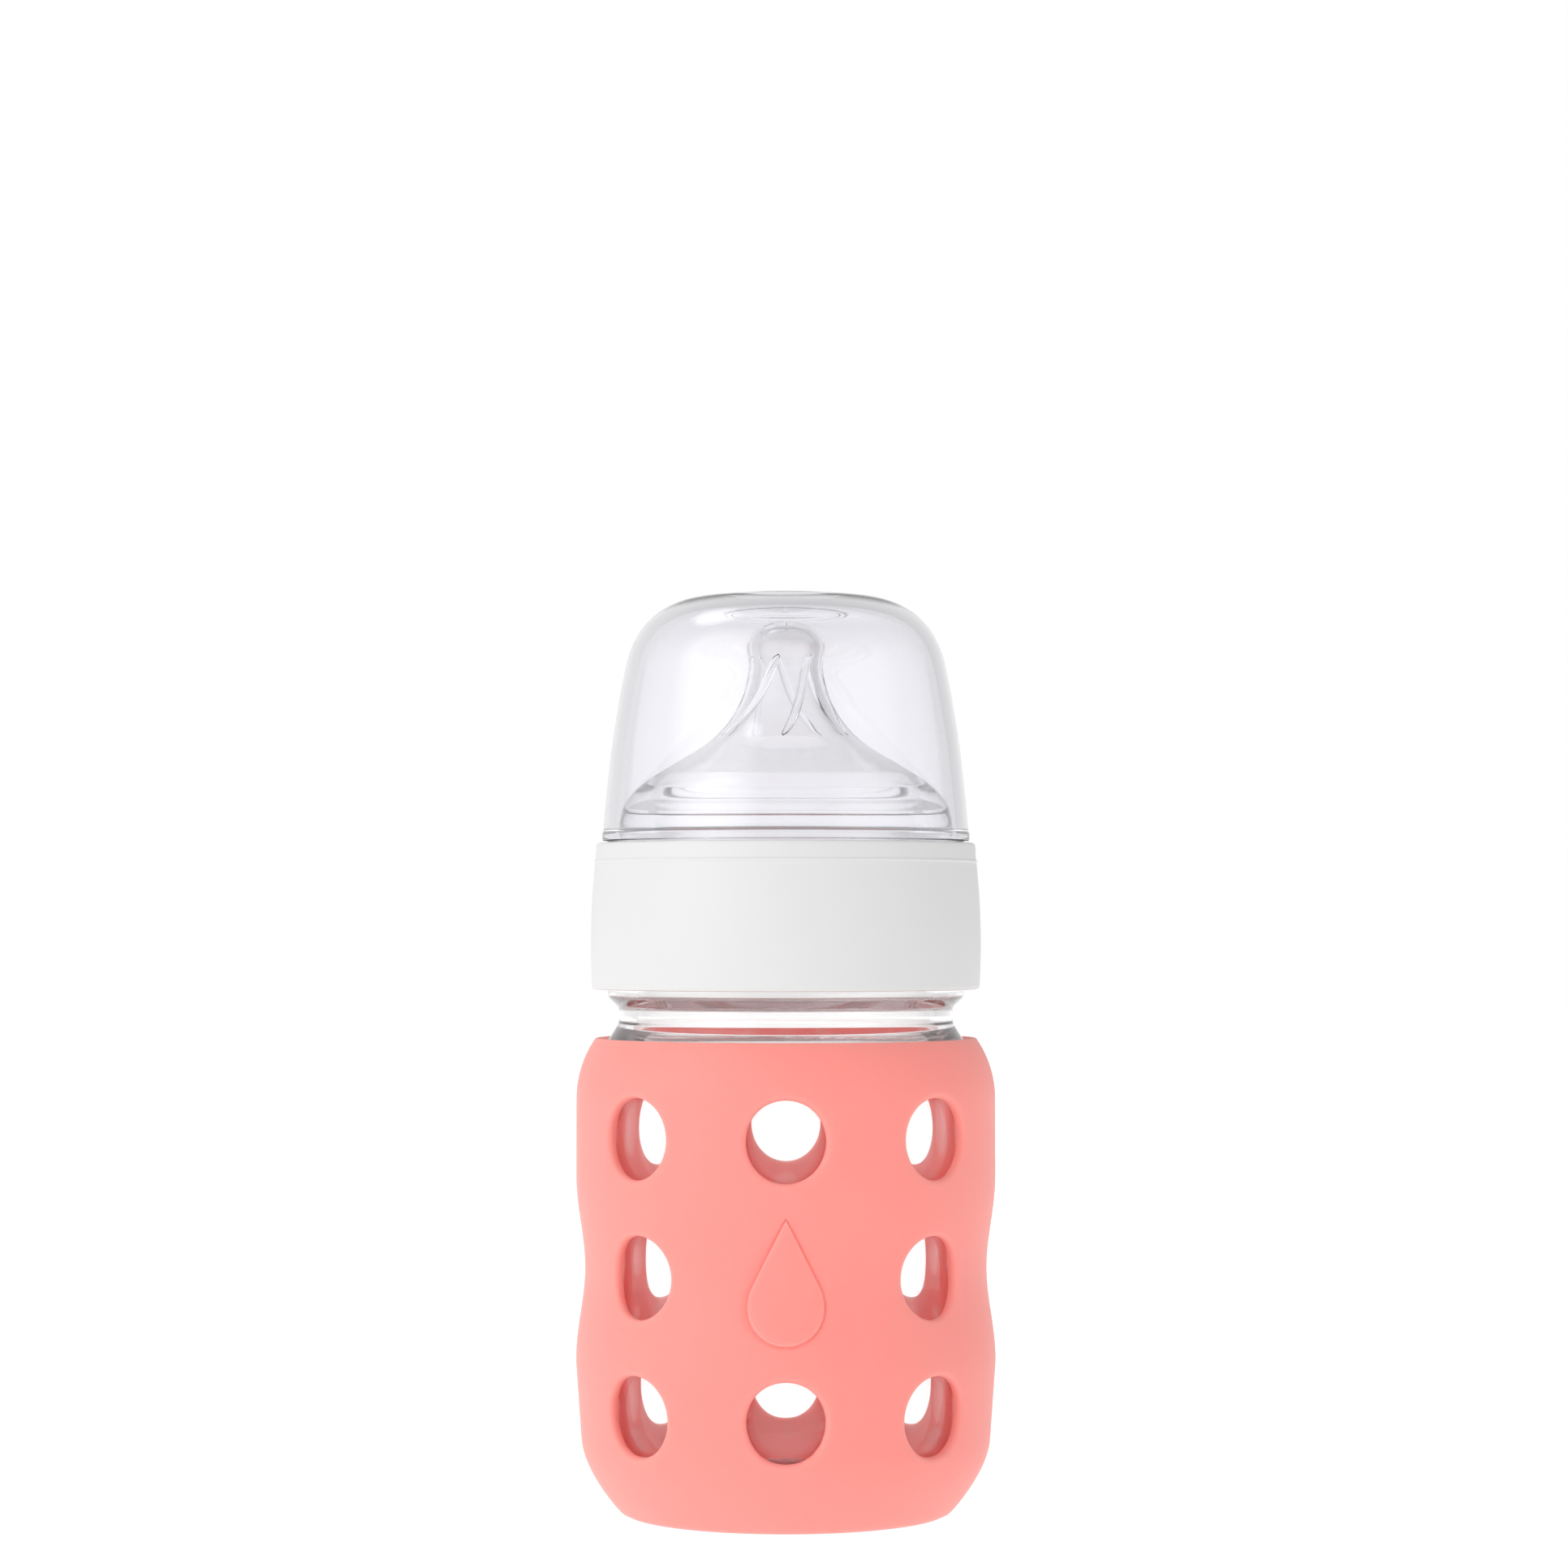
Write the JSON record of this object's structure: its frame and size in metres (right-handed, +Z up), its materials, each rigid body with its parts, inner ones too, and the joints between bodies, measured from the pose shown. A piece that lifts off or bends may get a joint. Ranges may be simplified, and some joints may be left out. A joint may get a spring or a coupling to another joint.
{
  "type": "baby bottle",
  "caption": "Small wide-neck glass baby bottle in a windowed silicone sleeve, with a screw collar, silicone nipple and clear dome cap.",
  "frame": {"origin": "centre of the foot, on the surface that the bottle stands on", "axes": "+Z up along the bottle's axis, -Y towards the front of the sleeve, where the raised drop is"},
  "size_m": [0.068, 0.068, 0.1489],
  "materials": {
    "borosilicate_glass": "polished clear",
    "coral_silicone": "satin",
    "white_polypropylene": "fine satin",
    "clear_silicone": "smooth translucent",
    "clear_polypropylene": "clear gloss"
  },
  "bodies": {
    "bottle": {"glass_bottle": "borosilicate_glass", "silicone_sleeve": "coral_silicone"},
    "nipple": {"nipple": "clear_silicone"},
    "collar": {"screw_collar": "white_polypropylene"},
    "cap": {"dome_cap": "clear_polypropylene"}
  },
  "joints": [
    {"name": "nipple_lift", "type": "slide", "parent": "bottle", "child": "nipple", "axis": [0, 0, 1], "range_m": [0, 0.0057]},
    {"name": "collar_turn", "type": "hinge", "parent": "nipple", "child": "collar", "pos_m": [0, 0, 0.0965], "axis": [0, 0, 1], "range_deg": [0, 450]},
    {"name": "cap_lift", "type": "slide", "parent": "collar", "child": "cap", "axis": [0, 0, 1], "range_m": [0, 0.045]}
  ],
  "couplings": [
    {"joint": "nipple_lift", "follows": "collar_turn", "m_per_rad": 0.0007162}
  ]
}
